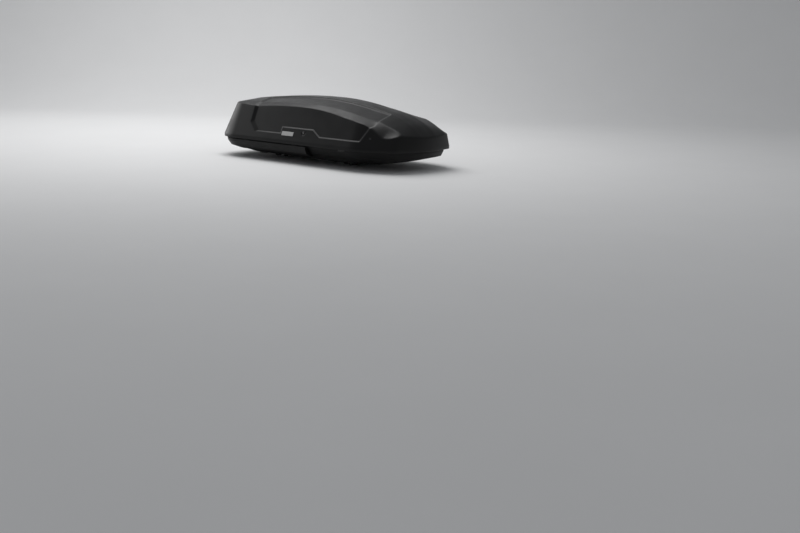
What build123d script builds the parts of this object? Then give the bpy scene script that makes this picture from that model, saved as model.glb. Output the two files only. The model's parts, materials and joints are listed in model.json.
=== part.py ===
from build123d import *
import math
import os

# Roof cargo box with a lid that opens from either side and four quick clamps.
# Millimetres. +X points to the nose, +Y to the left, +Z up. The origin is under the middle of the
# box, at the height of the tips of the closed clamp jaws, which are the lowest points.

# ---- driving dimensions ------------------------------------------------------------------------
LENGTH = 1750.0
WIDTH = 825.0
LIP_Z = 140.0  # bottom edge of the lid
LIP_BAND = 20.0  # upright band round the foot of the lid
NOSE_EDGE_Z = 232.0  # top of the upright nose band, where the hood starts
TOP_Z = 470.0  # a plane above the whole lid
WALL_LEAN = 22.2  # degrees that the lid's sides and tail lean inwards
TAPER_X = 560.0  # where the flanks start to taper towards the nose
NOSE_HALF = 305.0  # half width of the nose, between its corners
NOSE_BOW = 53.0
TAIL_BOW = 27.0
NOSE_R = 70.0  # corners of the plan
TAPER_R = 240.0
TAIL_R = 250.0
LID_WALL = 4.0
RECESS = 8.5  # depth of the sunk panel on each flank
SPINE_HALF = 80.0  # half width of the raised spine along the top
SHOULDER_HALF = 245.0  # half width at the crease between top and shoulder band
CAP_X = 655.0  # screw caps near the front of each flank
CAP_Z = 228.0
CAP_R = 5.0
CAP_HEAD_R = 8.0
HOOP_FOOT = 272.0
HOOP_WIDTH = 46.0
HOOP_WALL = 3.0
HOOPS = {"lid_rear_stiffener": -340.0, "lid_middle_stiffener": -130.0, "lid_front_stiffener": 320.0}
BADGE_X = -80.0
BADGE_Z = 208.0
BADGE_LENGTH = 114.0
BADGE_HEIGHT = 30.0
BADGE_THICK = 2.5

BASE_WALL = 4.0
BASE_IN = 30.0  # how far the base's rim stands inside the lid's lip
RIM_Z = 166.0
RIM_FLANGE = 12.0  # width of the flange under the seal, beyond the wall
SEAL_TOP = 173.0
FLOOR_Z = 42.0  # underside of the floor
FLOOR_TOP = 47.0
SILL_FRONT = 108.0  # the flush sill runs round the tail and ends here on both sides
ANCHOR_X = (-300.0, 60.0)
ANCHOR_Y = 230.0
ANCHOR_LENGTH = 44.0
ANCHOR_HEIGHT = 18.0
ANCHOR_WIDTH = 10.0
RAIL_X = (-592.0, 360.0)  # ends of the floor rails
RAIL_WIDTH = 70.0

AXIS_Y = 395.0  # the two hinge axes run along X at y = +/-AXIS_Y
AXIS_Z = 146.0
HINGE_X = (-520.0, -20.0, 430.0)
ARM_X = (-520.0, 430.0)
PIN_R = 4.0
KNUCKLE_R = 8.0
TAB_TOP = 162.0
TAB_Y = 393.0
TAB_THICK = 7.0
JAW_LENGTH = 16.0  # of a hinge jaw along X
HINGE_LENGTH = 60.0  # of a hinge bracket along X
HINGE_HEIGHT = 38.0
PLATE = 4.0
EAR = 6.0  # thickness of a hinge ear
EAR_STEP = 21.0
RIVET_R = 2.2
RIVET_X = 27.0
RIVET_Z = (134.0, 158.0)
SPRING_R = 6.6
SPRING_BORE = 4.8
SPRING_LENGTH = 8.5
ARM_WIDTH = 22.0
STRIKER_WIDTH = 12.0
STRIKER_STEP = 40.0
RUN_GAP = 0.05  # radial clearance of running pins and shafts

LOCK_X = 70.0
LOCK_Z = 226.0
LOCK_R = 9.0
LOCK_SLEEVE = 2.5
LOCK_BLOCK_Y = 350.0  # inner face of the lock housing
LOCK_BLOCK = 20.0  # its thickness
LOCK_FACE_Y = 388.0  # outer end of its sleeve
KEY_BACK_Y = 345.0
KEY_FACE_Y = 387.5
KEYWAY = 9.0
KEYWAY_WIDTH = 1.6
CRANK_Y = 341.0
CRANK_WIDTH = 13.0
CRANK_PIN_R = 2.5
LOCK_CRANK = 16.0  # a quarter turn of the key moves the bar this far
BAR_LENGTH = 640.0
BAR_Y = 334.0
BAR_Z = 195.0
BAR_HEIGHT = 14.0
BAR_THICK = 4.0

CLAMP_Y = 75.0
CLAMP_X = {"rear": -468.0, "front": 232.0}
SLIDE = 60.0  # travel of a clamp each way along its floor rail
BEAM_Z = 34.0  # underside of the saddle pads, which sit on the crossbar
RAIL_TOP = 51.0
HOUSING_Z = 51.5
HOUSING_TOP = 86.0
HOUSING_LENGTH = 68.0
HOUSING_WIDTH = 62.0
NECK_LENGTH = 60.0  # of the part of a housing that reaches down through the floor slot
NECK_WIDTH = 38.0
NECK_DEPTH = 10.0
PAD_LENGTH = 225.0
PAD_WIDTH = 76.0
PAD_THICK = 7.5
PAD_OUT = 77.5  # from the middle of a clamp outwards to the middle of its saddle pad
JAW_X = 46.5  # distance of each jaw's arm from the clamp's middle
JAW_ARM = 7.0
JAW_WIDTH = 34.0
JAW_PIVOT_Z = 62.0
JAW_PIN_R = 3.0
JAW_PIN_LENGTH = 58.0
JAW_EYE_R = 7.0
KNOB_R = 32.0
KNOB_SHAFT_R = 8.0
KNOB_Z = 88.0
KNOB_HEIGHT = 24.0
KNOB_GRIPS = 6
GRIP_R = 14.0
SLOT_WIDTH = 44.0
SLOT_END = 14.0  # room beyond each jaw at the end of its travel

HALF_L = LENGTH / 2
HALF_W = WIDTH / 2
SIDES = {"left": 1, "right": -1}
LEAN = math.tan(math.radians(WALL_LEAN))

# The lid's top from tail to nose: x, height along the middle, and how far the surface has fallen
# from there at the shoulder crease and at a line outside the side wall.
CROWN = (
    (-900, 360, 16, 46),
    (-775, 401, 18, 47),
    (-650, 421, 23, 60),
    (-500, 437, 33, 85),
    (-120, 457, 34, 91),
    (150, 450, 34, 91),
    (450, 409, 34, 82),
    (600, 382, 34, 98),
    (700, 349, 35, 172),
    (800, 300, 31, 210),
    (873, 236, 18, 200),
    (892, 216, 18, 200),
)
SPINE_FALL = 2.0
EDGE_HALF = HALF_W + 20

# The sunk flank panel seen from the side, x and z round its edge, with the lock's boss.
PANEL = (
    (-470, 500),
    (-465, 262),
    (-400, 208),
    (-158, 208),
    (-150, 250),
    (146, 254),
    (222, 210),
    (590, 210),
    (646, 330),
    (646, 500),
)
# The base's plan shrinks downwards: height, and how far in at the sides, the nose and the tail.
HULL = (
    (RIM_Z, BASE_IN, BASE_IN, BASE_IN),
    (122.0, BASE_IN, BASE_IN, 34.0),
    (90.0, 52.0, 36.0, 60.0),
    (62.0, 92.0, 150.0, 140.0),
    (FLOOR_Z, 125.0, 250.0, 265.0),
)
# The sill lies under the lid's lip. Its top falls inwards to let the lip swing past.
SILL = (
    (131.0, 2.5, 30.0, 24.0),
    (114.0, 4.0, 30.0, 28.0),
    (82.0, 18.0, 60.0, 56.0),
    (64.0, 62.0, 150.0, 122.0),
)
SILL_GUTTER = ((131.5, 2.1, 30.0, 24.0), (122.0, 18.5, 40.0, 30.0))

os.makedirs("parts", exist_ok=True)


def save(builder, label):
    """Label a finished piece and write it."""
    builder.part.label = label
    export_step(builder.part, f"parts/{label}.step")


def plan(side_in, nose_in, tail_in):
    """The box seen from above: bowed nose, tapering flanks, straight sides, rounded tail."""
    half = HALF_W - side_in
    nose = HALF_L - nose_in
    tail = -HALF_L + tail_in
    nose_half = NOSE_HALF - 0.85 * side_in
    nose_x = nose - NOSE_BOW
    tail_x = tail + TAIL_BOW
    taper_x = TAPER_X - 0.9 * nose_in
    with BuildSketch() as outline:
        with BuildLine():
            ThreePointArc((nose_x, -nose_half), (nose, 0), (nose_x, nose_half))
            Polyline((nose_x, nose_half), (taper_x, half), (tail_x, half))
            ThreePointArc((tail_x, half), (tail, 0), (tail_x, -half))
            Polyline((tail_x, -half), (taper_x, -half), (nose_x, -nose_half))
        make_face()
        fillet(outline.vertices().sort_by(Axis.X)[0:2], radius=TAIL_R - side_in)
        fillet(outline.vertices().sort_by(Axis.X)[-2:], radius=NOSE_R)
        taper = [v for v in outline.vertices() if abs(v.X - taper_x) < 1]
        fillet(taper, radius=TAPER_R)
    return outline.sketch


def stack(levels, shrink=0.0):
    """A closed form through plans at several heights, all shrunk by the same amount."""
    with BuildPart() as form:
        for z, side_in, nose_in, tail_in in levels:
            with BuildSketch(Plane.XY.offset(z)):
                add(plan(side_in + shrink, nose_in + shrink, tail_in + shrink))
        loft(ruled=True)
    return form.part


def top_form(drop):
    """Everything under the lid's top surface, which falls away from the middle in two slopes."""
    falls = {
        SPINE_HALF: [SPINE_FALL for _ in CROWN],
        SHOULDER_HALF: [row[2] for row in CROWN],
        EDGE_HALF: [row[3] for row in CROWN],
    }
    with BuildPart() as top:
        for y in [-y for y in reversed(falls)] + list(falls):
            with BuildSketch(Plane.XZ.offset(-y)):
                with BuildLine():
                    ridge = [(row[0], row[1] - fall - drop) for row, fall in zip(CROWN, falls[abs(y)])]
                    crown = Spline(*ridge)
                    Polyline(crown @ 1, (892, -60), (-900, -60), crown @ 0)
                make_face()
        loft(ruled=True)
        with BuildSketch(Plane.XY.offset(-60)):
            Rectangle(LENGTH + 60, WIDTH + 60)
        extrude(amount=NOSE_EDGE_Z - drop + 60)
    return top.part


def lid_block(inset):
    """The lid's closed outer form, shrunk by inset, before the flank panels are sunk."""
    band_top = LIP_Z + LIP_BAND
    lean_in = inset + (TOP_Z - band_top) * LEAN
    foot = LIP_Z - (20 if inset else 0)
    with BuildPart() as block:
        with BuildSketch(Plane.XY.offset(foot)):
            add(plan(inset, inset, inset))
        extrude(amount=band_top - foot)
        with BuildSketch(Plane.XY.offset(band_top)):
            add(plan(inset, inset, inset))
        with BuildSketch(Plane.XY.offset(TOP_Z)):
            add(plan(lean_in, inset + 4, lean_in))
        loft(ruled=True)
        add(top_form(inset), mode=Mode.INTERSECT)
    return block.part


def lid_form(inset):
    """The lid's form with both flank panels sunk. The panels' edges move out by inset."""
    with BuildPart() as sunk:
        for side in SIDES.values():
            with BuildSketch(Plane.XZ.offset(-side * (SPINE_HALF - inset))):
                with BuildLine():
                    Polyline(*PANEL, close=True)
                make_face()
                if inset:
                    offset(amount=inset, kind=Kind.INTERSECTION)
            extrude(amount=-side * HALF_W)
        add(lid_block(inset + RECESS), mode=Mode.SUBTRACT)
    with BuildPart() as form:
        add(lid_block(inset))
        add(sunk.part, mode=Mode.SUBTRACT)
    return form.part


def flank_wall(z):
    """Distance of the lid's straight side wall from the middle at a height."""
    return HALF_W - max(0.0, z - LIP_Z - LIP_BAND) * LEAN


def flank_plane(side, x, z, swing=0.0, in_by=0.0):
    """A plane on the leaning flank, its normal out of the box. Swing turns it to the nose."""
    lean = math.radians(WALL_LEAN)
    turn = math.radians(swing)
    flat = Vector(math.sin(turn), side * math.cos(turn), 0)
    normal = flat * math.cos(lean) + Vector(0, 0, math.sin(lean))
    along = Vector(math.cos(turn), -side * math.sin(turn), 0)
    return Plane(Vector(x, side * (flank_wall(z) - in_by), z), x_dir=along, z_dir=normal)


def across(side, x, y, z):
    """A plane whose normal points straight out to one side, and whose local y is up."""
    return Plane((x, side * y, z), x_dir=(-side, 0, 0), z_dir=(0, side, 0))


# ---- lid ---------------------------------------------------------------------------------------
lid_inside = lid_form(LID_WALL)
taper_turn = math.degrees(math.atan2(HALF_W - NOSE_HALF, HALF_L - NOSE_BOW - TAPER_X))
cap_in = (CAP_X - TAPER_X) * math.tan(math.radians(taper_turn))

with BuildPart() as lid_shell:
    add(lid_form(0))
    add(lid_inside, mode=Mode.SUBTRACT)
    with BuildSketch(Plane.XZ):
        with Locations((LOCK_X, LOCK_Z)):
            Circle(LOCK_R + LOCK_SLEEVE)
    extrude(amount=HALF_W, both=True, mode=Mode.SUBTRACT)
    for side in SIDES.values():
        with BuildSketch(flank_plane(side, CAP_X, CAP_Z, taper_turn, cap_in)):
            Circle(CAP_R)
        extrude(amount=15, both=True, mode=Mode.SUBTRACT)
save(lid_shell, "lid_shell")

# Three hoops under the lid, bonded to its inside above the locks and arms.
hoop_core = lid_form(LID_WALL + HOOP_WALL)
for label, x in HOOPS.items():
    with BuildPart() as hoop:
        with BuildSketch(Plane.XY.offset(HOOP_FOOT)):
            with Locations((x, 0)):
                Rectangle(HOOP_WIDTH, WIDTH)
        extrude(amount=TOP_Z - HOOP_FOOT)
        add(lid_inside, mode=Mode.INTERSECT)
        add(hoop_core, mode=Mode.SUBTRACT)
    save(hoop, label)

# Round caps over the screws at the front of each flank.
with BuildPart() as side_screw_caps:
    for side in SIDES.values():
        wall = flank_plane(side, CAP_X, CAP_Z, taper_turn, cap_in)
        with BuildSketch(wall.offset(-6)):
            Circle(CAP_R - 0.1)
        extrude(amount=7.6)
        with BuildSketch(wall.offset(1.6)):
            Circle(CAP_HEAD_R)
        extrude(amount=2)
save(side_screw_caps, "side_screw_caps")

for name, side in SIDES.items():
    with BuildPart() as badge:
        with BuildSketch(flank_plane(side, BADGE_X, BADGE_Z)):
            RectangleRounded(BADGE_LENGTH, BADGE_HEIGHT, 4)
        extrude(amount=BADGE_THICK)
        outer_face = badge.faces().sort_by(Axis.Y)[-1 if side > 0 else 0]
        chamfer(outer_face.edges(), 0.8)
    save(badge, f"{name}_badge")

    # Catches on the lip, beside each hinge jaw.
    with BuildPart() as strikers:
        for x in HINGE_X:
            for step in (-1, 1):
                with BuildSketch(Plane.YZ.offset(x + step * STRIKER_STEP - STRIKER_WIDTH / 2)):
                    with BuildLine():
                        Polyline(
                            (side * 407.5, 143),
                            (side * 401, 143),
                            (side * 399, 150),
                            (side * 403, 159),
                            (side * 407.5, 159),
                            close=True,
                        )
                    make_face()
                extrude(amount=STRIKER_WIDTH)
    save(strikers, f"{name}_strikers")

    # Lock: a block inside the flank whose sleeve shows outside, a key cylinder and a sliding bar.
    with BuildPart() as lock_housing:
        with BuildSketch(across(side, LOCK_X, LOCK_BLOCK_Y, LOCK_Z)):
            RectangleRounded(48, 30, 5)
        extrude(amount=LOCK_BLOCK)
        with BuildSketch(across(side, LOCK_X, LOCK_BLOCK_Y, LOCK_Z)):
            Circle(LOCK_R + LOCK_SLEEVE)
        extrude(amount=LOCK_FACE_Y - LOCK_BLOCK_Y)
        with BuildSketch(across(side, LOCK_X, LOCK_BLOCK_Y - 10, LOCK_Z)):
            Circle(LOCK_R + RUN_GAP)
        extrude(amount=60, mode=Mode.SUBTRACT)
    save(lock_housing, f"{name}_lock_housing")

    with BuildPart() as lock_cylinder:
        with BuildSketch(across(side, LOCK_X, KEY_BACK_Y, LOCK_Z)):
            Circle(LOCK_R)
        extrude(amount=KEY_FACE_Y - KEY_BACK_Y)
        with BuildSketch(across(side, LOCK_X, KEY_FACE_Y, LOCK_Z)):
            SlotOverall(KEYWAY, KEYWAY_WIDTH, rotation=90)
        extrude(amount=-2, mode=Mode.SUBTRACT)
        with BuildSketch(across(side, LOCK_X, CRANK_Y, LOCK_Z)):
            with Locations((0, LOCK_CRANK / 2)):
                SlotOverall(LOCK_CRANK + 14, CRANK_WIDTH, rotation=90)
        extrude(amount=KEY_BACK_Y - CRANK_Y)
        with BuildSketch(across(side, LOCK_X, CRANK_Y, LOCK_Z)):
            with Locations((0, LOCK_CRANK)):
                Circle(CRANK_PIN_R)
        extrude(amount=-8)
    save(lock_cylinder, f"{name}_lock_cylinder")

    # The crank's pin drives the bar through an upright slot.
    with BuildPart() as lock_bar:
        with BuildSketch(across(side, LOCK_X, BAR_Y, LOCK_Z)):
            with Locations((0, BAR_Z - LOCK_Z)):
                Rectangle(BAR_LENGTH, BAR_HEIGHT)
                with GridLocations(BAR_LENGTH - 30, 1, 2, 1):
                    with Locations((0, 10)):
                        RectangleRounded(30, 16, 3)
                with GridLocations(BAR_LENGTH - 150, 1, 2, 1):
                    SlotOverall(34, 6, mode=Mode.SUBTRACT)
            with Locations((0, LOCK_CRANK / 2)):
                RectangleRounded(36, 64, 4)
                SlotOverall(36, 14, rotation=90, mode=Mode.SUBTRACT)
        extrude(amount=BAR_THICK)
    save(lock_bar, f"{name}_lock_bar")

# ---- base --------------------------------------------------------------------------------------
CLAMPS = {
    f"{end}_{name}": (x, side * CLAMP_Y) for end, x in CLAMP_X.items() for name, side in SIDES.items()
}
SLOT_LENGTH = 2 * (SLIDE + JAW_X + SLOT_END)
inner_levels = [(RIM_Z - 5, BASE_IN, BASE_IN, BASE_IN)] + list(HULL[1:4]) + [(FLOOR_TOP, *HULL[4][1:])]
rim_in = BASE_IN + BASE_WALL + RIM_FLANGE

with BuildPart() as base_shell:
    with BuildSketch(Plane.YZ.offset(-HALF_L)):
        Rectangle(WIDTH, 400)
    extrude(amount=HALF_L + SILL_FRONT)
    add(stack(SILL), mode=Mode.INTERSECT)
    add(stack(SILL_GUTTER), mode=Mode.SUBTRACT)
    add(stack(HULL))
    add(stack(inner_levels, BASE_WALL), mode=Mode.SUBTRACT)
    with BuildSketch(Plane.XY.offset(RIM_Z - 20)):
        add(plan(rim_in, rim_in, rim_in))
    extrude(amount=40, mode=Mode.SUBTRACT)
    with BuildSketch(Plane.XY.offset(FLOOR_Z - 10)):
        with Locations(*CLAMPS.values()):
            Rectangle(SLOT_LENGTH, SLOT_WIDTH)
    extrude(amount=20, mode=Mode.SUBTRACT)
save(base_shell, "base_shell")

with BuildPart() as rim_seal:
    with BuildSketch(Plane.XY.offset(RIM_Z)):
        add(plan(BASE_IN + 4, BASE_IN + 4, BASE_IN + 4))
        add(plan(BASE_IN + 13, BASE_IN + 13, BASE_IN + 13), mode=Mode.SUBTRACT)
    extrude(amount=SEAL_TOP - RIM_Z)
save(rim_seal, "rim_seal")

with BuildPart() as strap_anchors:
    for x in ANCHOR_X:
        for side in SIDES.values():
            with BuildSketch(Plane.XZ.offset(-side * ANCHOR_Y - ANCHOR_WIDTH / 2)):
                with Locations((x, FLOOR_TOP + ANCHOR_HEIGHT / 2)):
                    Rectangle(ANCHOR_LENGTH, ANCHOR_HEIGHT)
                    Rectangle(ANCHOR_LENGTH - 14, ANCHOR_HEIGHT - 10, mode=Mode.SUBTRACT)
            extrude(amount=ANCHOR_WIDTH)
save(strap_anchors, "strap_anchors")

for name, side in SIDES.items():
    with BuildPart() as floor_rail:
        with BuildSketch(Plane.XY.offset(FLOOR_TOP)):
            with Locations(((RAIL_X[0] + RAIL_X[1]) / 2, side * CLAMP_Y)):
                RectangleRounded(RAIL_X[1] - RAIL_X[0], RAIL_WIDTH, 6)
            with Locations(*[(x, side * CLAMP_Y) for x in CLAMP_X.values()]):
                Rectangle(SLOT_LENGTH, SLOT_WIDTH, mode=Mode.SUBTRACT)
        extrude(amount=RAIL_TOP - FLOOR_TOP)
    save(floor_rail, f"{name}_floor_rail")

# ---- hinges ------------------------------------------------------------------------------------
WALL_Y = HALF_W - BASE_IN  # outer face of the base's side wall under the rim

for name, side in SIDES.items():
    with BuildPart() as hinge_brackets:
        for x in HINGE_X:
            with BuildSketch(across(side, x, WALL_Y, 145)):
                RectangleRounded(HINGE_LENGTH, HINGE_HEIGHT, 4)
            extrude(amount=PLATE)
            for step in (-EAR_STEP, EAR_STEP):
                with BuildSketch(Plane.YZ.offset(x + step - EAR / 2)):
                    with BuildLine():
                        Polyline(
                            (side * (WALL_Y + 2), AXIS_Z - 11),
                            (side * AXIS_Y, AXIS_Z - 7.5),
                            (side * AXIS_Y, AXIS_Z + 7.5),
                            (side * (WALL_Y + 2), AXIS_Z + 11),
                            close=True,
                        )
                    make_face()
                    with Locations((side * AXIS_Y, AXIS_Z)):
                        Circle(7.5)
                        Circle(PIN_R, mode=Mode.SUBTRACT)
                extrude(amount=EAR)
    save(hinge_brackets, f"{name}_hinge_brackets")

    with BuildPart() as hinge_pins:
        for x in HINGE_X:
            with BuildSketch(Plane.YZ.offset(x - EAR_STEP - EAR)):
                with Locations((side * AXIS_Y, AXIS_Z)):
                    Circle(PIN_R)
            extrude(amount=2 * (EAR_STEP + EAR))
    save(hinge_pins, f"{name}_hinge_pins")

    with BuildPart() as hinge_jaws:
        for x in HINGE_X:
            with BuildSketch(Plane.YZ.offset(x - JAW_LENGTH / 2)):
                with Locations((side * AXIS_Y, AXIS_Z)):
                    Circle(KNUCKLE_R)
                with Locations((side * TAB_Y, (AXIS_Z + TAB_TOP) / 2)):
                    Rectangle(TAB_THICK, TAB_TOP - AXIS_Z)
                with Locations((side * AXIS_Y, AXIS_Z)):
                    Circle(PIN_R + RUN_GAP, mode=Mode.SUBTRACT)
            extrude(amount=JAW_LENGTH)
    save(hinge_jaws, f"{name}_hinge_jaws")

    with BuildPart() as lifter_arms:
        for x in ARM_X:
            with BuildSketch(Plane.YZ.offset(x - ARM_WIDTH / 2)):
                with BuildLine():
                    Polyline(
                        (side * (TAB_Y + TAB_THICK / 2), TAB_TOP),
                        (side * 350.5, 263),
                        (side * 346, 266),
                        (side * 342.5, 262),
                        (side * (TAB_Y - TAB_THICK / 2), TAB_TOP),
                        close=True,
                    )
                make_face()
            extrude(amount=ARM_WIDTH)
    save(lifter_arms, f"{name}_lifter_arms")

    with BuildPart() as torsion_springs:
        for x in HINGE_X:
            for start in (SPRING_LENGTH, -2 * SPRING_LENGTH):
                with BuildSketch(Plane.YZ.offset(x + start)):
                    with Locations((side * AXIS_Y, AXIS_Z)):
                        Circle(SPRING_R)
                        Circle(SPRING_BORE, mode=Mode.SUBTRACT)
                extrude(amount=SPRING_LENGTH)
    save(torsion_springs, f"{name}_torsion_springs")

with BuildPart() as base_rivets:
    for side in SIDES.values():
        for x in HINGE_X:
            for step in (-RIVET_X, RIVET_X):
                for z in RIVET_Z:
                    with BuildSketch(across(side, x + step, WALL_Y + PLATE, z)):
                        Circle(RIVET_R)
                    extrude(amount=1.6)
save(base_rivets, "base_rivets")

# ---- clamps ------------------------------------------------------------------------------------
for name, (cx, cy) in CLAMPS.items():
    middle = Plane((cx, cy, 0))
    out = 1 if cy > 0 else -1

    with BuildPart() as housing:
        with BuildSketch(middle.offset(HOUSING_Z)):
            RectangleRounded(HOUSING_LENGTH, HOUSING_WIDTH, 8)
        extrude(amount=HOUSING_TOP - HOUSING_Z)
        fillet(housing.faces().sort_by(Axis.Z)[-1].edges(), 5)
        with BuildSketch(middle.offset(HOUSING_Z)):
            with GridLocations(2 * 44, 2 * 24, 2, 2):
                Rectangle(26, 10)
        extrude(amount=20)
        with BuildSketch(middle.offset(HOUSING_Z)):
            Rectangle(NECK_LENGTH, NECK_WIDTH)
        extrude(amount=-NECK_DEPTH)
        with BuildSketch(middle.offset(60)):
            Circle(KNOB_SHAFT_R + RUN_GAP)
        extrude(amount=60, mode=Mode.SUBTRACT)
        with BuildSketch(Plane((cx, cy, JAW_PIVOT_Z), x_dir=(1, 0, 0), z_dir=(0, 1, 0))):
            with GridLocations(2 * JAW_X, 1, 2, 1):
                Circle(JAW_PIN_R)
        extrude(amount=40, both=True, mode=Mode.SUBTRACT)
    save(housing, f"{name}_clamp_housing")

    with BuildPart() as jaw_pins:
        pin_start = cy - JAW_PIN_LENGTH / 2
        with BuildSketch(Plane((cx, pin_start, JAW_PIVOT_Z), x_dir=(1, 0, 0), z_dir=(0, 1, 0))):
            with GridLocations(2 * JAW_X, 1, 2, 1):
                Circle(JAW_PIN_R)
        extrude(amount=JAW_PIN_LENGTH)
    save(jaw_pins, f"{name}_jaw_pins")

    with BuildPart() as saddle_pad:
        with BuildSketch(Plane((cx, cy + out * PAD_OUT, BEAM_Z))):
            RectangleRounded(PAD_WIDTH, PAD_LENGTH, 6)
        extrude(amount=PAD_THICK)
    save(saddle_pad, f"{name}_saddle_pad")

    with BuildPart() as knob:
        with BuildSketch(middle.offset(JAW_PIVOT_Z)):
            Circle(KNOB_SHAFT_R)
        extrude(amount=KNOB_Z - JAW_PIVOT_Z + 2)
        with BuildSketch(middle.offset(KNOB_Z)):
            Circle(KNOB_R)
            with PolarLocations(KNOB_R + 9, KNOB_GRIPS):
                Circle(GRIP_R, mode=Mode.SUBTRACT)
        extrude(amount=KNOB_HEIGHT)
        fillet(knob.faces().sort_by(Axis.Z)[-1].edges(), 2.5)
    save(knob, f"{name}_clamp_knob")

    for jaw_name, way in (("front", 1), ("rear", -1)):
        with BuildPart() as jaw:
            with BuildSketch(Plane((cx, cy - JAW_WIDTH / 2, 0), x_dir=(1, 0, 0), z_dir=(0, -1, 0))):
                with BuildLine():
                    Polyline(
                        (way * (JAW_X - JAW_ARM / 2), JAW_PIVOT_Z),
                        (way * (JAW_X - JAW_ARM / 2), 8),
                        (way * 25, 8),
                        (way * 23, 4),
                        (way * 27, 0),
                        (way * (JAW_X - 2), 0),
                        (way * (JAW_X + JAW_ARM / 2), 6),
                        (way * (JAW_X + JAW_ARM / 2), JAW_PIVOT_Z),
                        close=True,
                    )
                make_face()
                with Locations((way * JAW_X, JAW_PIVOT_Z)):
                    Circle(JAW_EYE_R)
                    Circle(JAW_PIN_R + RUN_GAP, mode=Mode.SUBTRACT)
            extrude(amount=-JAW_WIDTH)
        save(jaw, f"{name}_{jaw_name}_jaw")
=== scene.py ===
# The looks of a roof cargo box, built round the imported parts. The geometry functions work in
# millimetres in the part's own frame, and make_object turns their points into metres.
import json
import math

import bpy
import numpy as np
from mathutils import Matrix, Vector


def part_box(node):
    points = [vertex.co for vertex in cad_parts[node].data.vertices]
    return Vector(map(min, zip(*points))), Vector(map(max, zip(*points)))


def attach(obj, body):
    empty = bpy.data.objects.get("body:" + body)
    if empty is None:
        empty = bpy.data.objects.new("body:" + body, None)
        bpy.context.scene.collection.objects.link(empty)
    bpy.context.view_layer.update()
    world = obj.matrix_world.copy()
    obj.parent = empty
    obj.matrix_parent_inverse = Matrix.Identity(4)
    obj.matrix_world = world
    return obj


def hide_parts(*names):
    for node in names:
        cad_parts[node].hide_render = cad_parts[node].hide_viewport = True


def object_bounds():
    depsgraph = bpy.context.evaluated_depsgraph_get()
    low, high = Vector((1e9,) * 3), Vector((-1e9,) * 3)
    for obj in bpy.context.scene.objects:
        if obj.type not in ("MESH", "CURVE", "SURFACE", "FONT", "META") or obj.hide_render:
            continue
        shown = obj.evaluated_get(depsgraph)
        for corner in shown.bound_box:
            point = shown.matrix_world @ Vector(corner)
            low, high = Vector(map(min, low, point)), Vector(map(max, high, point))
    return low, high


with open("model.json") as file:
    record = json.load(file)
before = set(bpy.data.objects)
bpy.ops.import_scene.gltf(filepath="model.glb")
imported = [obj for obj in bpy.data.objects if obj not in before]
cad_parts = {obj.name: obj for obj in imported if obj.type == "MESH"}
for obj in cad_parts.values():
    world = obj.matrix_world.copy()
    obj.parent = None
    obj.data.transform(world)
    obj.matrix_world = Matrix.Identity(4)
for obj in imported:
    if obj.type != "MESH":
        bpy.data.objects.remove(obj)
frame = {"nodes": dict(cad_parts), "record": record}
cad_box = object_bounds()

# ---- sizes read from the frame -----------------------------------------------------------------
MM = 0.001
LOW, HIGH = ([v / MM for v in corner] for corner in cad_box)
HALF_L = (HIGH[0] - LOW[0]) / 2
HALF_W = (HIGH[1] - LOW[1]) / 2
LIP_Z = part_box("lid_shell")[0].z / MM

# ---- the lid's plan ----------------------------------------------------------------------------
NOSE_BULGE = 53  # how far the middle of the nose stands out
TAIL_BULGE = 27
NOSE_HALF = 305  # half width at the nose corners
TAPER_X = 560  # the sides run parallel behind this
NOSE_RADIUS, TAPER_RADIUS, TAIL_RADIUS = 70, 240, 250
NOSE_HALF_PER_INSET = 0.85  # the corners move in less than the sides
TAPER_X_PER_INSET = 0.9
PATH_POINTS = 4001
PATH_COUNTS = (160, 120, 320, 160)  # points on the nose, the taper, the side and the tail
BEND_COUNTS = (60, 60, 120)  # points round the corners between them

# ---- the lid's walls ---------------------------------------------------------------------------
BAND_TOP = LIP_Z + 20.0  # the wall is upright up to here
REF_TOP = 470.0  # the height of the second plan, which gives the walls their lean
LEAN = math.tan(math.radians(22.2))  # of the sides and tail
NOSE_LEAN = 4  # how far the nose leans in, up to REF_TOP
LID_WALL = 4.0
OUTER_ROUNDING, INNER_ROUNDING = 10.0, 6.0
LOCK_Z = 226.0

# ---- the lid's top -----------------------------------------------------------------------------
CROWN = (
    (-900, 360), (-775, 401), (-500, 437), (-120, 457), (150, 450),
    (450, 409), (700, 349), (800, 300), (873, 236), (892, 216),
)
NOSE_EDGE_Z = 232.0  # where the hood meets the nose band
NOSE_EDGE_X = 868
NOSE_EDGE_HALF = 300  # half width at that height, at the nose corners
SIDE_EDGE_HALF = 383  # and along the sides
SIDE_EDGE_TAPER = 0.393  # how fast the sides close in ahead of TAPER_X
SPINE_HALF = 80.0
SPINE_FALL = 2  # from the middle to the edge of the spine
SPINE_STEP = 2.0  # down from the spine to the strips beside it
SPINE_STEP_WIDTH = 11
CREASE_HALF = 245.0
CREASE_CLOSING = 29
STRIP_SLOPE = 0.175  # slopes are the fall for each millimetre outwards
STRIP_SLOPE_HOOD = 0.019  # more on the hood
SHOULDER_SLOPE = 0.33
SHOULDER_SLOPE_LESS, SHOULDER_SLOPE_MORE = 0.06, 0.68
SHOULDER_REACH = 15  # the least width that a shoulder is taken to have
FLATTER_TAIL, FLATTER_NOSE = 0.45, 0.5  # the share of the fall that the two ends lose
SPINE_SOFT, CREASE_SOFT, NOSE_EDGE_SOFT = 8, 4, 5  # how round these creases are

# Where the top changes along X: the start of each change and its length, towards the nose or,
# when negative, towards the tail.
HOOD = (420, 180)
CLOSING = (650, 210)
SHOULDER_EASES = (380, 120)
SHOULDER_STEEPENS = (560, 220)
TAIL_FLATTENS = (-470, -250)
NOSE_FLATTENS = (760, 110)

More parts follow.
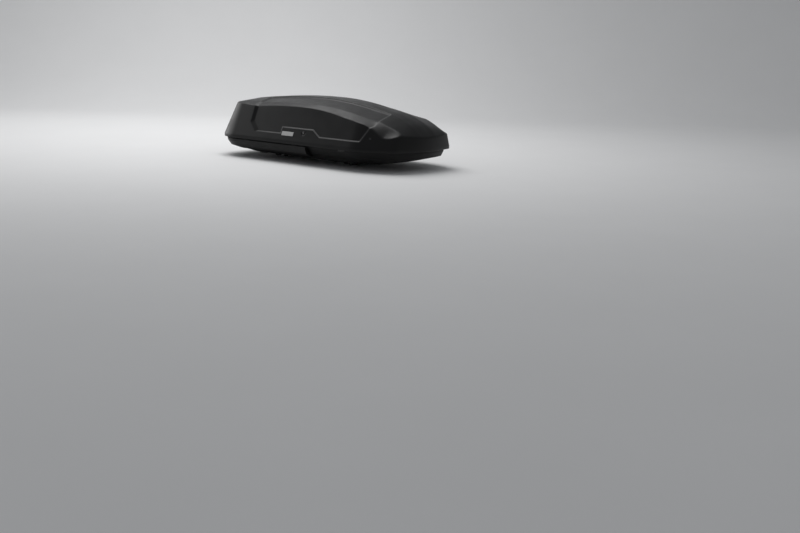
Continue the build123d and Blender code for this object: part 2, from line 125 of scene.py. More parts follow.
# ---- the flank panel ---------------------------------------------------------------------------
RECESS = 8.5
PANEL_FOOT = 208  # the height of its lower border
PANEL_REAR_X, PANEL_REAR_SWEEP, PANEL_REAR_HALF = -473, 0.36, 330
PANEL_FRONT_X, PANEL_FRONT_SWEEP, PANEL_FRONT_HALF = 646, 0.2, 300
BOSS_REAR_X, BOSS_TOP = -154, 252
SPINE_GAP = 4
REAR_BEVEL, FRONT_BEVEL, FOOT_BEVEL, BOSS_BEVEL, SPINE_BEVEL = 27, 15, 10, 11, 16

# Slanting borders: a point on the line (x, height), the direction across it, and its length.
REAR_SLANT = ((-465, 262), (54, 65), 84.5)
FRONT_SLANT = ((590, 210), (-120, 56), 132.4)
BOSS_SLANT = ((146, 254), (44, 76), 87.8)


def smooth(t):
    """A soft step from 0 to 1 as t goes from 0 to 1."""
    t = np.clip(t, 0.0, 1.0)
    return t * t * (3 - 2 * t)


def change(x, start, length):
    """A soft step from 0 to 1 along X. It runs towards the tail where the length is negative."""
    return smooth((x - start) / length)


def ramp(distance, width):
    """A bevel of a given width, centred on distance 0."""
    t = np.clip(distance / width + 0.5, 0.0, 1.0)
    return 0.75 * t + 0.25 * smooth(t)


def positive(t, soft):
    """t where it is above 0 and 0 elsewhere, with the corner between them rounded."""
    return (t + np.sqrt(t * t + soft * soft)) / 2


def crown(x):
    """Height along the lid's middle: a smooth curve through the CROWN points."""
    px, pz = (np.array(column, float) for column in zip(*CROWN))
    slope = np.gradient(pz, px)
    x = np.clip(x, px[0], px[-1])
    k = np.clip(np.searchsorted(px, x) - 1, 0, len(px) - 2)
    span = px[k + 1] - px[k]
    t = (x - px[k]) / span
    a = (1 + 2 * t) * (1 - t) ** 2 * pz[k] + t * t * (3 - 2 * t) * pz[k + 1]
    return a + span * (t * (1 - t) ** 2 * slope[k] - t * t * (1 - t) * slope[k + 1])


def crease_half(x):
    """Half width at the crease beside the shoulders, which closes in over the hood."""
    return CREASE_HALF - CREASE_CLOSING * change(x, *CLOSING)


def nose_edge_half(x):
    """Half width of the box at the height where the hood meets the nose band."""
    bow = NOSE_EDGE_HALF * np.sqrt(np.clip((NOSE_EDGE_X - x) / NOSE_BULGE, 0, None))
    side = np.minimum(SIDE_EDGE_HALF - SIDE_EDGE_TAPER * (x - TAPER_X), SIDE_EDGE_HALF)
    return np.minimum(side, bow)


def lid_top(x, y):
    """Height of the lid's top surface, before the flank panels are sunk."""
    w = np.abs(y)
    crease = crease_half(x)
    hood = change(x, *HOOD)
    flatter = 1 - FLATTER_TAIL * change(x, *TAIL_FLATTENS) - FLATTER_NOSE * change(x, *NOSE_FLATTENS)
    strip = STRIP_SLOPE + STRIP_SLOPE_HOOD * hood
    shoulder = SHOULDER_SLOPE - SHOULDER_SLOPE_LESS * change(x, *SHOULDER_EASES)
    shoulder = shoulder + SHOULDER_SLOPE_MORE * change(x, *SHOULDER_STEEPENS)
    step = SPINE_STEP * (1 - hood)
    at_crease = crown(x) - (SPINE_FALL + step + strip * (crease - SPINE_HALF)) * flatter
    reach = np.maximum(nose_edge_half(x) - crease, SHOULDER_REACH)
    shoulder = np.clip(shoulder, strip, np.maximum((at_crease - NOSE_EDGE_Z) / reach, strip))
    fall = SPINE_FALL * smooth(w / SPINE_HALF) + step * smooth((w - SPINE_HALF) / SPINE_STEP_WIDTH)
    fall = fall + strip * positive(w - SPINE_HALF, SPINE_SOFT)
    fall = fall + (shoulder - strip) * positive(w - crease, CREASE_SOFT)
    z = crown(x) - fall * flatter
    return NOSE_EDGE_Z + positive(z - NOSE_EDGE_Z, NOSE_EDGE_SOFT)


def corner_curve(before, after, heading, leaving, count):
    """A smooth corner from one point to another that keeps both directions."""
    fullness = 0.66
    reach = np.linalg.norm(after - before)
    turn = math.acos(np.clip(heading @ leaving, -1, 1))
    handle = fullness * reach * math.tan(turn / 4) / math.sin(turn / 2)
    t = np.linspace(0, 1, count)[:, None]
    p1, p2 = before + handle * heading, after - handle * leaving
    return (1 - t) ** 3 * before + 3 * t * (1 - t) ** 2 * p1 + 3 * t * t * (1 - t) * p2 + t**3 * after


def arc_points(a, b, bulge, count):
    """Points on a circle's arc from a to b whose middle stands out by bulge, to the right."""
    chord = b - a
    half = np.linalg.norm(chord) / 2
    along = chord / (2 * half)
    out = np.array([along[1], -along[0]])
    radius = (half * half + bulge * bulge) / (2 * bulge)
    reach = math.asin(half / radius)
    angle = np.linspace(-reach, reach, count)[:, None]
    outward = out * (bulge - radius + radius * np.cos(angle))
    return (a + b) / 2 + outward + along * radius * np.sin(angle)


def unit(vector):
    """The same direction with length 1."""
    return vector / np.linalg.norm(vector)


def half_plan(side_in, nose_in, tail_in):
    """The left half of the plan, from the middle of the nose to the middle of the tail."""
    half = HALF_W - side_in
    nose, tail = HALF_L - nose_in, -HALF_L + tail_in
    corners = [
        np.array([nose - NOSE_BULGE, NOSE_HALF - NOSE_HALF_PER_INSET * side_in]),
        np.array([TAPER_X - TAPER_X_PER_INSET * nose_in, half]),
        np.array([tail + TAIL_BULGE, half]),
    ]
    middle = PATH_POINTS // 2
    front = arc_points(corners[0] * (1, -1), corners[0], NOSE_BULGE, PATH_POINTS)[middle:]
    back = arc_points(corners[2], corners[2] * (1, -1), TAIL_BULGE, PATH_POINTS)[: middle + 1]
    straights = [np.linspace(a, b, PATH_POINTS) for a, b in zip(corners, corners[1:])]
    paths = [front, *straights, back]

    # Each corner takes the same length off the end of one path and the start of the next.
    cut = [[0.0, 0.0] for _ in paths]
    for k, radius in enumerate((NOSE_RADIUS, TAPER_RADIUS, TAIL_RADIUS - side_in)):
        d1 = paths[k][-1] - paths[k][-2]
        d2 = paths[k + 1][1] - paths[k + 1][0]
        turn = math.acos(d1 @ d2 / np.linalg.norm(d1) / np.linalg.norm(d2))
        cut[k][1] = cut[k + 1][0] = radius * math.tan(turn / 2)
    pieces = []
    for k, path in enumerate(paths):
        run = np.concatenate([[0], np.cumsum(np.linalg.norm(np.diff(path, axis=0), axis=1))])
        at = np.linspace(cut[k][0], run[-1] - cut[k][1], PATH_COUNTS[k])
        part = np.stack([np.interp(at, run, path[:, 0]), np.interp(at, run, path[:, 1])], 1)
        if k:
            last = pieces[-1]
            heading, leaving = unit(last[-1] - last[-2]), unit(part[1] - part[0])
            bend = corner_curve(last[-1], part[0], heading, leaving, BEND_COUNTS[k - 1])
            pieces.append(bend[1:-1])
        pieces.append(part)
    return np.concatenate(pieces)


def outline_at(low, high, z):
    """The plan of a leaning wall at a height, between its plans at BAND_TOP and REF_TOP."""
    return low + (high - low) * (z - BAND_TOP) / (REF_TOP - BAND_TOP)


def steps(*stretches):
    """Values along a line: (from, to, spacing) for each stretch, joined end to end."""
    values = [stretches[0][0]]
    for start, end, gap in stretches:
        count = max(1, round(abs(end - start) / gap))
        values += list(np.linspace(start, end, count + 1)[1:])
    return np.array(values)


# Stations along a side run from the nose corner to the tail corner, closer where the form steps.
SIDE_X = steps(
    (800, 655, 10), (655, 585, 5), (585, 235, 10), (235, 130, 5), (130, 94, 9), (94, 46, 3),
    (46, -138, 9), (-138, -166, 3.5), (-166, -370, 10), (-370, -620, 5), (-620, -790, 10),
)
WALL_Z = steps((160, 196, 9), (196, 244, 3), (244, 260, 2.7), (260, 272, 6))
UPPER_ROWS = 12  # rings from the last of these up to the edge
INNER_Y = steps((0, 64, 13), (64, 74, 5), (74, 88, 2), (88, 104, 8), (104, 230, 14), (230, 260, 5))
OUTER_ROWS = 7  # rows from the last of these out to OUTER_Y
OUTER_Y = 340
FIXED_X = (-640, 600)  # between these, stations keep their X as the walls lean
FIXED_Y = 100  # up to here, rows keep their Y along the whole top
CREASE_GAP = 12  # between the crease and the border, where the top is narrow
BOW_LENGTH = 260  # the bow of nose and tail fades out of the rows over this length
BISECTIONS = 22
TOP_SLANT = 1.06  # height taken up by one millimetre of wall on the sloping top
EDGE_SLANT = 0.93  # how far down the edge's rounding starts, as a share of it
BEND_SHARES = (0.2, 0.4, 0.6, 0.8)
ROOM_BELOW, ROOM_ABOVE = 4, 25  # heights kept free when a low wall's rings close up


def past_slant(x, h, slant):
    """How far past a slanting border a point is, across it."""
    (at_x, at_h), (across_x, across_h), length = slant
    return ((x - at_x) * across_x + (h - at_h) * across_h) / length


def panel_depth(x, y, z, edge_y, edge_z):
    """How far the flank panel is sunk, 0 to 1. Above the wall's top edge, height runs on inwards."""
    w = np.abs(y)
    h = np.where(w < edge_y, edge_z + edge_y - w, z)
    rear = np.minimum(
        x - PANEL_REAR_X + PANEL_REAR_SWEEP * np.clip(PANEL_REAR_HALF - w, 0, None),
        past_slant(x, h, REAR_SLANT),
    )
    front = np.minimum(
        past_slant(x, h, FRONT_SLANT),
        PANEL_FRONT_X - PANEL_FRONT_SWEEP * np.clip(PANEL_FRONT_HALF - w, 0, None) - x,
    )
    boss = np.maximum.reduce([BOSS_REAR_X - x, h - BOSS_TOP, past_slant(x, h, BOSS_SLANT)])
    return np.minimum.reduce([
        ramp(rear, REAR_BEVEL),
        ramp(front, FRONT_BEVEL),
        ramp(h - PANEL_FOOT, FOOT_BEVEL),
        ramp(boss, BOSS_BEVEL),
        ramp(w - SPINE_HALF - SPINE_GAP, SPINE_BEVEL),
    ])


def lid_half(inset, rounding):
    """Half of one face of the lid: wall columns round the rim, and the grid of the top, y >= 0."""
    low = half_plan(inset, inset, inset)
    lean_in = inset + (REF_TOP - BAND_TOP) * LEAN
    high = half_plan(lean_in, inset + NOSE_LEAN, lean_in)
    # The outline heads 90 degrees at the nose, 180 along the side and 270 at the tail.
    heading = np.degrees(np.arctan2(*np.diff(low, axis=0)[:, ::-1].T)) % 360
    nose_corner = int(np.argmax(heading > 135))
    tail_corner = int(np.argmax(heading > 225))

    def side_point(x, z):
        line = outline_at(low, high, z)
        tail_x, nose_x = line[[tail_corner, nose_corner], 0]
        x = np.interp(x, [SIDE_X[-1], *FIXED_X, SIDE_X[0]], [tail_x, *FIXED_X, nose_x])
        return np.array([x, np.interp(x, line[::-1, 0], line[::-1, 1]), z])

    def end_point(share, z, at_nose):
        line = outline_at(low, high, z)
        part = line[: nose_corner + 1] if at_nose else line[tail_corner:][::-1]
        y = share * part[-1, 1]
        return np.array([np.interp(y, part[:, 1], part[:, 0]), y, z])

    def edge_height(point):
        """Where a wall column meets the top."""
        below, above = BAND_TOP, REF_TOP
        for _ in range(BISECTIONS):
            z = (below + above) / 2
            x, y, _z = point(z)
            if lid_top(x, y) - TOP_SLANT * inset > z:
                below = z
            else:
                above = z
        return below

    rows = np.concatenate([INNER_Y, np.linspace(INNER_Y[-1], OUTER_Y, OUTER_ROWS + 1)[1:]])
    shares = rows / rows[-1]
    nose = [lambda z, s=s: end_point(s, z, True) for s in shares[:-1]]
    side = [lambda z, x=x: side_point(x, z) for x in SIDE_X]
    tail = [lambda z, s=s: end_point(s, z, False) for s in shares[:-1][::-1]]
    columns = nose + side + tail
    edge_z = np.array([edge_height(point) for point in columns])
    edge = np.array([point(z) for point, z in zip(columns, edge_z)])

    # Inward across the edge, seen from above.
    along = np.gradient(edge[:, :2], axis=0)
    along[0], along[-1] = (0, 1), (0, -1)
    inward = np.stack([-along[:, 1], along[:, 0]], 1) / np.linalg.norm(along, axis=1)[:, None]
    inner = edge.copy()
    inner[:, :2] += rounding * inward
    inner[:, 2] = lid_top(inner[:, 0], inner[:, 1]) - TOP_SLANT * inset
    under_z = edge_z - EDGE_SLANT * rounding
    under = np.array([point(z) for point, z in zip(columns, under_z)])

    walls = []
    for point, top in zip(columns, under_z):
        squeeze = min(1.0, (top - BAND_TOP - ROOM_BELOW) / (WALL_Z[-1] - BAND_TOP + ROOM_ABOVE))
        heights = BAND_TOP + (WALL_Z - BAND_TOP) * squeeze
        heights = np.concatenate([heights, np.linspace(heights[-1], top, UPPER_ROWS + 1)[1:]])
        walls.append([point(z) for z in heights])
    walls = np.array(walls).transpose(1, 0, 2)
    bend = [(1 - t) ** 2 * under + 2 * t * (1 - t) * edge + t * t * inner for t in BEND_SHARES]
    rings = np.concatenate([walls, np.array(bend), inner[None]])

    # The top's grid: stations along X, rows across. Its border is the last ring.
    first = len(nose)
    border = inner[first:first + len(side)]
    nose_border = np.concatenate([inner[:first], border[:1]])
    tail_border = np.concatenate([border[-1:], inner[first + len(side):]])[::-1]
    grid = np.empty((len(side), len(rows), 3))
    knots = [0, FIXED_Y, CREASE_HALF, rows[-1]]
    for i, (x, half, _z) in enumerate(border):
        y = np.interp(rows, knots, [0, FIXED_Y, min(crease_half(x), half - CREASE_GAP), half])
        grid[i, :, 0], grid[i, :, 1] = x, y
    nose_bow = nose_border[:, :2] - grid[0, :, :2]
    tail_bow = tail_border[:, :2] - grid[-1, :, :2]
    for i, x in enumerate(border[:, 0]):
        grid[i, :, :2] += nose_bow * smooth(1 - abs(x - border[0, 0]) / BOW_LENGTH)
        grid[i, :, :2] += tail_bow * smooth(1 - abs(x - border[-1, 0]) / BOW_LENGTH)
    grid[:, :, 2] = lid_top(grid[:, :, 0], grid[:, :, 1]) - TOP_SLANT * inset
    grid[:, -1] = border
    grid[0], grid[-1] = nose_border, tail_border
    return rings, grid, edge


# ---- turning points into objects ---------------------------------------------------------------
def make_object(name, points, faces, material, body):
    """A smooth mesh object from millimetre points, which rides on a body of the frame."""
    mesh = bpy.data.meshes.new(name)
    mesh.from_pydata((np.asarray(points, float) * MM).tolist(), [], faces)
    mesh.validate()
    mesh.update()
    mesh.polygons.foreach_set("use_smooth", [True] * len(mesh.polygons))
    obj = bpy.data.objects.new(name, mesh)
    bpy.context.scene.collection.objects.link(obj)
    mesh.materials.append(material)
    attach(obj, body)
    return obj


def mirrored(points):
    """The same points on the other side."""
    return points * (1, -1, 1)


def full_rings(rings):
    """Whole closed rings from half rings that run from the nose to the tail."""
    return np.concatenate([rings, mirrored(rings[:, -2:0:-1])], axis=1)


def full_grid(grid):
    """The whole top from its left half, whose first row is the middle."""
    return np.concatenate([mirrored(grid[:, :0:-1]), grid], axis=1)


def band(low, high):
    """Quads between two closed rings of point numbers, facing out when the second is higher."""
    return list(zip(low, low[1:] + low[:1], high[1:] + high[:1], high))


def ring(first, count):
    """The numbers of the points of one ring."""
    return list(range(first, first + count))


def ring_faces(first, count, rows):
    """Quads between closed rings of points that follow each other, from a first point on."""
    faces = []
    for start in range(first, first + (rows - 1) * count, count):
        faces += band(ring(start, count), ring(start + count, count))
    return faces


def border_indices(first, stations, rows):
    """Indices of a grid's border, in the order of the rings' columns."""
    middle = rows // 2
    at = lambda i, j: first + i * rows + j
    loop = [at(0, middle + j) for j in range(middle)]
    loop += [at(i, rows - 1) for i in range(stations)]
    loop += [at(stations - 1, middle + j) for j in range(middle - 1, -1, -1)]
    other = [at(0, middle - j) for j in range(middle)]
    other += [at(i, 0) for i in range(stations)]
    other += [at(stations - 1, middle - j) for j in range(middle - 1, -1, -1)]
    return loop + other[-2:0:-1]


def skin_mesh(rings, grid):
    """Points and faces of rings that end at the border of a grid. Faces point out and up."""
    rings, grid = full_rings(rings[:-1]), full_grid(grid)
    rows, count = rings.shape[:2]
    stations, width = grid.shape[:2]
    points = np.concatenate([rings.reshape(-1, 3), grid.reshape(-1, 3)])
    first = rows * count
    faces = ring_faces(0, count, rows)
    faces += band(ring(first - count, count), border_indices(first, stations, width))
    for i in range(stations - 1):
        for j in range(width - 1):
            a = first + i * width + j
            faces.append((a, a + 1, a + width + 1, a + width))
    return points, faces


def point_normals(points, faces):
    """Unit normals at the points, weighted by the area of the faces round them."""
    quads = np.array(faces)
    across = points[quads[:, 2]] - points[quads[:, 0]]
    normal = np.cross(across, points[quads[:, 3]] - points[quads[:, 1]])
    total = np.zeros_like(points)
    for corner in quads.T:
        np.add.at(total, corner, normal)
    return total / np.linalg.norm(total, axis=1)[:, None]


# ---- the lid -----------------------------------------------------------------------------------
def lid_face(inset, rounding):
    """One whole face of the lid with its flank panels sunk, and the number of points in a ring."""
    lock_low, lock_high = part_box("left_lock_cylinder")
    lock_x = (lock_low.x + lock_high.x) / 2 / MM
    lock_face = lock_high.y / MM - 3.0  # the lock stands 3 mm out of its recess
    recess_radius, recess_bevel = 19, 6
    rings, grid, edge = lid_half(inset, rounding)
    points, faces = skin_mesh(rings, grid)
    side_start = grid.shape[1] - 1
    side = edge[side_start:side_start + len(SIDE_X)][::-1]
    edge_y = np.interp(points[:, 0], side[:, 0], side[:, 1])
    edge_z = np.interp(points[:, 0], side[:, 0], side[:, 2])
    depth = panel_depth(points[:, 0], points[:, 1], points[:, 2], edge_y, edge_z)
    normals = point_normals(points, faces)
    points = points - normals * (RECESS * depth)[:, None]
    away = np.hypot(points[:, 0] - lock_x, points[:, 2] - LOCK_Z)
    shallow = np.clip(np.abs(points[:, 1]) - (lock_face - inset), 0, None)
    sunk = shallow * ramp(recess_radius - away, recess_bevel)
    points[:, 1] -= np.sign(points[:, 1]) * sunk
    return points, faces, 2 * rings.shape[1] - 2


def build_lid():
    """The lid in place of the CAD's plain shell: two faces and the lip that joins them."""
    outer, outer_faces, count = lid_face(0.0, OUTER_ROUNDING)
    inner, inner_faces, _count = lid_face(LID_WALL, INNER_ROUNDING)
    # The lip's rings, from the inner face round to the outer: inset and height.
    lip = ((LID_WALL, 1.5), (LID_WALL - 1.0, 0.0), (1.2, 0.0), (0.3, 0.5), (0.0, 2.0))
    rings = []
    for inset, lift in lip:
        share = inset / LID_WALL
        points = outer[:count] * (1 - share) + inner[:count] * share
        points[:, 2] = LIP_Z + lift
        rings.append(points)
    first = len(inner)
    start = first + len(rings) * count
    faces = [face[::-1] for face in inner_faces]
    faces += ring_faces(first, count, len(rings))
    faces += band(ring(0, count), ring(first, count))
    faces += band(ring(start - count, count), ring(start, count))
    faces += [tuple(v + start for v in face) for face in outer_faces]
    lid = make_object("lid_skin", np.concatenate([inner, *rings, outer]), faces, lid_plastic, "lid")
    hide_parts("lid_shell")


# ---- springs and pads --------------------------------------------------------------------------
def build_springs():
    """Real coils of wire in place of the CAD's plain sleeves, two to a hinge."""
    hinge_x = (-520.0, -20.0, 430.0)
    length, turns, wire = 8.5, 4.5, 0.85
    steps_along, steps_round = 90, 8
    for side in ("left", "right"):
        low, high = (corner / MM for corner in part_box(f"{side}_torsion_springs"))
        axis_y, axis_z = (low.y + high.y) / 2, (low.z + high.z) / 2
        radius = (high.z - low.z) / 2 - wire
        angle = np.linspace(0, 2 * math.pi * turns, steps_along)
        points, faces = [], []
        for start in (x + shift for x in hinge_x for shift in (length, -2 * length)):
            first = len(points)
            along = start + wire + (length - 2 * wire) * angle / angle[-1]
            for a, x in zip(angle, along):
                outward = np.array([0, math.cos(a), math.sin(a)])
                centre = np.array([x, axis_y, axis_z]) + radius * outward
                for b in np.linspace(0, 2 * math.pi, steps_round + 1)[:-1]:
                    points.append(centre + wire * (math.cos(b) * outward + (math.sin(b), 0, 0)))
            faces += [face[::-1] for face in ring_faces(first, steps_round, steps_along)]
            faces.append(tuple(ring(first, steps_round)))
            faces.append(tuple(ring(len(points) - steps_round, steps_round))[::-1])
        coils = make_object(f"{side}_spring_coils", points, faces, zinc, f"{side}_hinge")
        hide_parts(f"{side}_torsion_springs")


def power_wave(wave, power):
    """A cosine or sine with its corners pushed out, so that a circle becomes a soft rectangle."""
    return np.sign(wave) * np.abs(wave) ** power


def build_pads():
    """Saddle pads with soft edges, and ribs on their undersides, where they grip the crossbar."""
    rib_length, groove, rounding = 9.0, 1.6, 2.2
    side_power, face_power = 0.25, 0.4
    upright_share = 0.8  # the ends' rounding is flatter than it is wide
    steps_along, steps_round = 151, 32
    angle = np.linspace(0, 2 * math.pi, steps_round + 1)[:-1]
    side_wave = power_wave(np.cos(angle), side_power)
    face_wave = power_wave(np.sin(angle), face_power)
    for clamp in ("rear_left", "rear_right", "front_left", "front_right"):
        low, high = (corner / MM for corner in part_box(f"{clamp}_saddle_pad"))
        half = (high - low) / 2
        middle = (high + low) / 2
        points = []
        for y in np.linspace(-half.y, half.y, steps_along):
            into_end = max(0.0, 1 - (half.y - abs(y)) / rounding)
            pull = rounding * (1 - math.sqrt(1 - into_end ** 2))
            x = side_wave * (half.x - pull)
            z = face_wave * (half.z - pull * upright_share)
            lift = groove * (0.5 - 0.5 * math.cos(2 * math.pi * y / rib_length))
            z = np.where(z < 0, z + lift * smooth(-z / half.z), z)
            points += [(middle.x + a, middle.y + y, middle.z + c) for a, c in zip(x, z)]
        faces = [face[::-1] for face in ring_faces(0, steps_round, steps_along)]
        faces.append(tuple(ring(0, steps_round)))
        faces.append(tuple(ring(len(points) - steps_round, steps_round))[::-1])
        pad = make_object(f"{clamp}_ribbed_pad", points, faces, rubber, f"{clamp}_clamp")
        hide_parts(f"{clamp}_saddle_pad")


# ---- materials ---------------------------------------------------------------------------------
class Shading:
    """A principled material built up node by node in object space, metres."""

    def __init__(self, name, roughness, metallic=0.0, specular=0.5):
        self.material = bpy.data.materials.new(name)
        self.material.use_nodes = True
        self.tree = self.material.node_tree
        self.shader = self.tree.nodes["Principled BSDF"]
        self.shader.inputs["Roughness"].default_value = roughness
        self.shader.inputs["Metallic"].default_value = metallic
        self.shader.inputs["Specular IOR Level"].default_value = specular
        self.place = self.node("ShaderNodeTexCoord").outputs["Object"]
        self.bump = None

    def node(self, kind, **settings):
        found = self.tree.nodes.new(kind)
        for key, value in settings.items():
            setattr(found, key, value)
        return found

    def link(self, source, target):
        self.tree.links.new(source, target)

    def noise(self, size, detail=3.0, stretch=(1, 1, 1)):
        """Noise whose features are about size metres, stretched along the axes."""
        spread = self.node("ShaderNodeMapping")
        spread.inputs["Scale"].default_value = [1 / (size * s) for s in stretch]
        self.link(self.place, spread.inputs["Vector"])
        cloud = self.node("ShaderNodeTexNoise")
        cloud.inputs["Scale"].default_value = 1.0
        cloud.inputs["Detail"].default_value = detail
        cloud.inputs["Roughness"].default_value = 0.55
        self.link(spread.outputs["Vector"], cloud.inputs["Vector"])
        return cloud.outputs["Fac"]

    def spread(self, value, low=0, high=1, start=0.3, end=0.7):
        """A value between start and end, mapped to low and high."""
        mapped = self.node("ShaderNodeMapRange")
        for key, number in (("From Min", start), ("From Max", end), ("To Min", low), ("To Max", high)):
            mapped.inputs[key].default_value = number
        self.link(value, mapped.inputs["Value"])
        return mapped.outputs["Result"]

    def mix(self, factor, first, second):
        """Two colours, or a colour and the output of another mix, mixed by a factor."""
        mixer = self.node("ShaderNodeMix", data_type="RGBA")
        self.link(factor, mixer.inputs["Factor"])
        for socket, colour in ((mixer.inputs["A"], first), (mixer.inputs["B"], second)):
            if isinstance(colour, tuple):
                socket.default_value = (*colour, 1.0)
            else:
                self.link(colour, socket)
        return mixer.outputs["Result"]

    def edges(self):
        """1 on convex edges, 0 elsewhere."""
        pointiness = self.node("ShaderNodeNewGeometry").outputs["Pointiness"]
        return self.spread(pointiness, start=0.52, end=0.6)

    def tone(self, size, detail, dark, light):
        """A slow change between two tones, in clouds of about size metres."""
        return self.mix(self.spread(self.noise(size, detail)), dark, light)

    def colour(self, source):
        self.link(source, self.shader.inputs["Base Color"])

    def rough(self, source, low, high):
        """Roughness between low and high, driven by noise."""
        self.link(self.spread(source, low, high), self.shader.inputs["Roughness"])

    def grain(self, height, strength, distance):
        """A layer of bump on top of those before it. Distance is in metres."""
        layer = self.node("ShaderNodeBump")
        layer.inputs["Strength"].default_value = strength
        layer.inputs["Distance"].default_value = distance
        self.link(height, layer.inputs["Height"])
        if self.bump:
            self.link(self.bump, layer.inputs["Normal"])
        self.bump = layer.outputs["Normal"]
        self.link(self.bump, self.shader.inputs["Normal"])


def moulded(name, dark, light, rough, grain_size, grain_depth, worn):
    """Grained moulded plastic: slow tone changes, fine grain with paler peaks, and paler edges."""
    look = Shading(name, rough, specular=0.2)
    tone = look.tone(0.22, 4, dark, light)
    fine = look.noise(grain_size, 2)
    tone = look.mix(look.spread(fine, high=0.25, start=0.45, end=0.75), tone, worn)
    tone = look.mix(look.spread(look.edges(), high=0.35, start=0, end=1), tone, worn)
    look.colour(tone)
    look.rough(look.noise(0.09, 4), rough - 0.05, rough + 0.06)
    look.grain(fine, 0.5, grain_depth)
    look.grain(look.noise(grain_size * 4.5, 2), 0.25, grain_depth * 1.4)
    return look.material


def brushed(name, dark, light, rough, stretch, size=0.0016):
    """Metal with fine lines along its stretched axes and faint stains."""
    look = Shading(name, rough, metallic=1.0)
    lines = look.noise(size, 3, stretch)
    look.colour(look.tone(0.035, 5, dark, light))
    look.rough(lines, rough - 0.08, rough + 0.12)
    look.grain(lines, 0.25, 0.00006)
    return look.material


def coated(name, dark, light, rough, chipped):
    """Black coated steel, rubbed bare in small spots."""
    look = Shading(name, rough, metallic=0.35)
    speckle = look.noise(0.0022, 3)
    tone = look.tone(0.03, 4, dark, light)
    rub = look.spread(look.noise(0.006, 4), high=0.5, start=0.62, end=0.75)
    look.colour(look.mix(rub, tone, chipped))
    look.rough(look.noise(0.012, 4), rough - 0.08, rough + 0.1)
    look.grain(speckle, 0.35, 0.00008)
    return look.material


def rubbery(name, dark, light, rough):
    """Rubber with a dusty bloom and a fine matt grain."""
    look = Shading(name, rough, specular=0.3)
    look.colour(look.tone(0.02, 5, dark, light))
    look.rough(look.noise(0.006, 4), rough - 0.07, rough + 0.08)
    look.grain(look.noise(0.0012, 2), 0.5, 0.00008)
    return look.material


def plated(name, dark, light, rough):
    """The blank badge: satin metal-coloured plate."""
    look = Shading(name, rough)
    look.colour(look.tone(0.004, 4, dark, light))
    look.rough(look.noise(0.002, 3), rough - 0.05, rough + 0.12)
    look.grain(look.noise(0.0009, 2), 0.3, 0.00004)
    return look.material


def grey(value, cast=0.02):
    """A nearly neutral grey, which a positive cast makes bluer."""
    return (value, value, value * (1 + cast))


lid_plastic = moulded("lid_plastic", grey(0.0032), grey(0.0048), 0.36, 0.0016, 0.00009, grey(0.012))
base_plastic = moulded("base_plastic", grey(0.0026), grey(0.0040), 0.50, 0.0024, 0.00016, grey(0.010))
nylon = moulded("black_nylon", grey(0.010), grey(0.016), 0.48, 0.0011, 0.00008, grey(0.040))
rubber = rubbery("rubber", grey(0.0085, 0), grey(0.0178, -0.02), 0.72)
zinc = brushed("zinc_steel", grey(0.42), grey(0.57, -0.04), 0.34, stretch=(1, 12, 12))
rail_metal = brushed("rail_aluminium", grey(0.57), grey(0.68, 0), 0.30, stretch=(40, 1, 1))
hoop_metal = brushed("hoop_metal", grey(0.51), grey(0.62, 0), 0.36, stretch=(1, 30, 30))
jaw_steel = coated("jaw_steel", grey(0.010), grey(0.018), 0.45, grey(0.09, 0))
lock_metal = brushed("lock_chrome", grey(0.10), grey(0.16, 0), 0.22, stretch=(1, 1, 1), size=0.0008)
badge_plate = plated("badge_plate", grey(0.34, 0), (0.42, 0.42, 0.41), 0.3)

CAD_LOOKS = {
    "lid_plastic": lid_plastic, "base_plastic": base_plastic, "black_nylon": nylon, "rubber": rubber,
    "zinc_steel": zinc, "rail_aluminium": rail_metal, "hoop_metal": hoop_metal, "jaw_steel": jaw_steel,
    "lock_chrome": lock_metal, "badge_plate": badge_plate,
}


def dress_cad_nodes():
    """Every CAD node takes the look of its material slot in the record."""
    for part in frame["record"]["subparts"]:
        node = frame["nodes"][part["node"]]
        look = CAD_LOOKS[part["material_slot"]]
        if not node.material_slots:
            node.data.materials.append(look)
        for slot in node.material_slots:
            slot.material = look


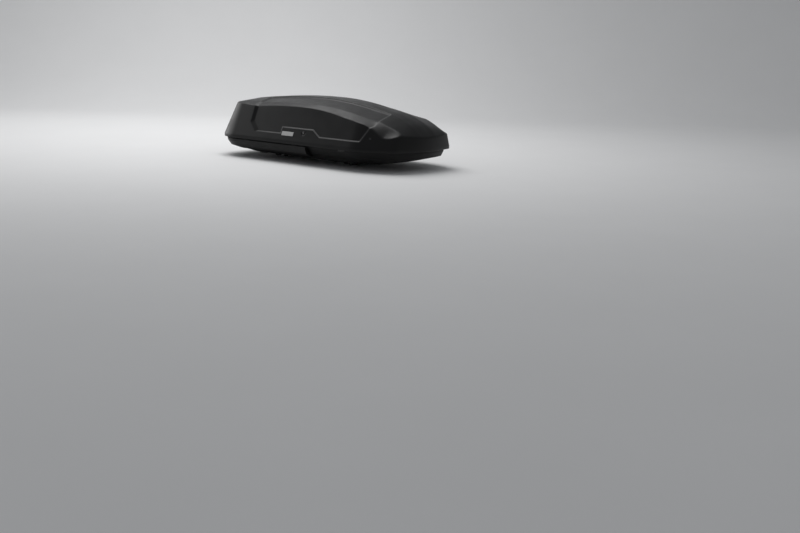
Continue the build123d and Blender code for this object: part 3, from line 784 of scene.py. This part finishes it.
# ---- stage, light and camera -------------------------------------------------------------------
def build_stage():
    """A pale floor that curves up into a pale backdrop."""
    near, far, bend, top, half_width = -9.0, 4.0, 3.0, 9.0, 14.0
    away_from_camera = math.radians(130)
    profile = [(near, 0.0), (far, 0.0)]
    for angle in np.linspace(0.1, math.pi / 2, 14):
        profile.append((far + bend * math.sin(angle), bend - bend * math.cos(angle)))
    profile.append((far + bend, top))
    points = [(away, side, z) for away, z in profile for side in (-half_width, half_width)]
    faces = [(k, k + 2, k + 3, k + 1) for k in range(0, len(points) - 2, 2)]
    mesh = bpy.data.meshes.new("stage")
    mesh.from_pydata(points, [], faces)
    mesh.polygons.foreach_set("use_smooth", [True] * len(faces))
    floor = bpy.data.objects.new("stage", mesh)
    bpy.context.scene.collection.objects.link(floor)
    floor.rotation_euler = (0, 0, away_from_camera)
    pale = Shading("stage_paper", 0.85, specular=0.2)
    pale.colour(pale.mix(pale.noise(0.5, 3), grey(0.80, 0), grey(0.83, 0)))
    mesh.materials.append(pale.material)
    return floor


def area_light(name, place, turn, tip, width, height, power):
    """A softbox, tipped up from facing straight down and turned about the vertical."""
    lamp = bpy.data.lights.new(name, "AREA")
    lamp.shape = "RECTANGLE"
    lamp.size, lamp.size_y = width, height
    lamp.energy = power
    light = bpy.data.objects.new(name, lamp)
    light.location = place
    light.rotation_euler = (math.radians(tip), 0, math.radians(turn))
    light.visible_camera = False
    bpy.context.scene.collection.objects.link(light)
    return light


def build_lights(floor):
    """A softbox overhead, and a low one behind the tail, which would burn out the floor before it."""
    area_light(
        "softbox", place=(-2.1, 0.4, 4.1), turn=156, tip=0, width=5.6, height=3.6, power=170
    )
    fill = area_light(
        "rear_fill", place=(-4.6, -0.9, 1.6), turn=-79, tip=80, width=3.4, height=2.8, power=58
    )
    spared = bpy.data.collections.new("spared_by_rear_fill")
    spared.objects.link(floor)
    spared.collection_objects[0].light_linking.link_state = "EXCLUDE"
    fill.light_linking.receiver_collection = spared
    world = bpy.data.worlds.new("studio")
    world.use_nodes = True
    sky = world.node_tree.nodes["Background"]
    sky.inputs["Color"].default_value = (0.95, 0.97, 1.0, 1.0)
    sky.inputs["Strength"].default_value = 0.32
    bpy.context.scene.world = world


def build_camera():
    """The photograph's place, direction and lens, solved from the car under the box."""
    place = Vector((5.8559, -6.1420, 0.9728))
    right = Vector((0.75929, 0.65029, 0.02464))
    up = Vector((-0.14958, 0.13755, 0.97914))
    data = bpy.data.cameras.new("camera")
    data.sensor_width, data.lens = 36.0, 52.74
    data.clip_start, data.clip_end = 0.1, 100.0
    camera = bpy.data.objects.new("camera", data)
    bpy.context.scene.collection.objects.link(camera)
    turn = Matrix((right, up, right.cross(up))).transposed()
    camera.matrix_world = Matrix.Translation(place) @ turn.to_4x4()
    bpy.context.scene.camera = camera


build_camera()
build_lights(build_stage())
bpy.context.scene.view_settings.view_transform = "Standard"
dress_cad_nodes()
build_lid()
build_springs()
build_pads()
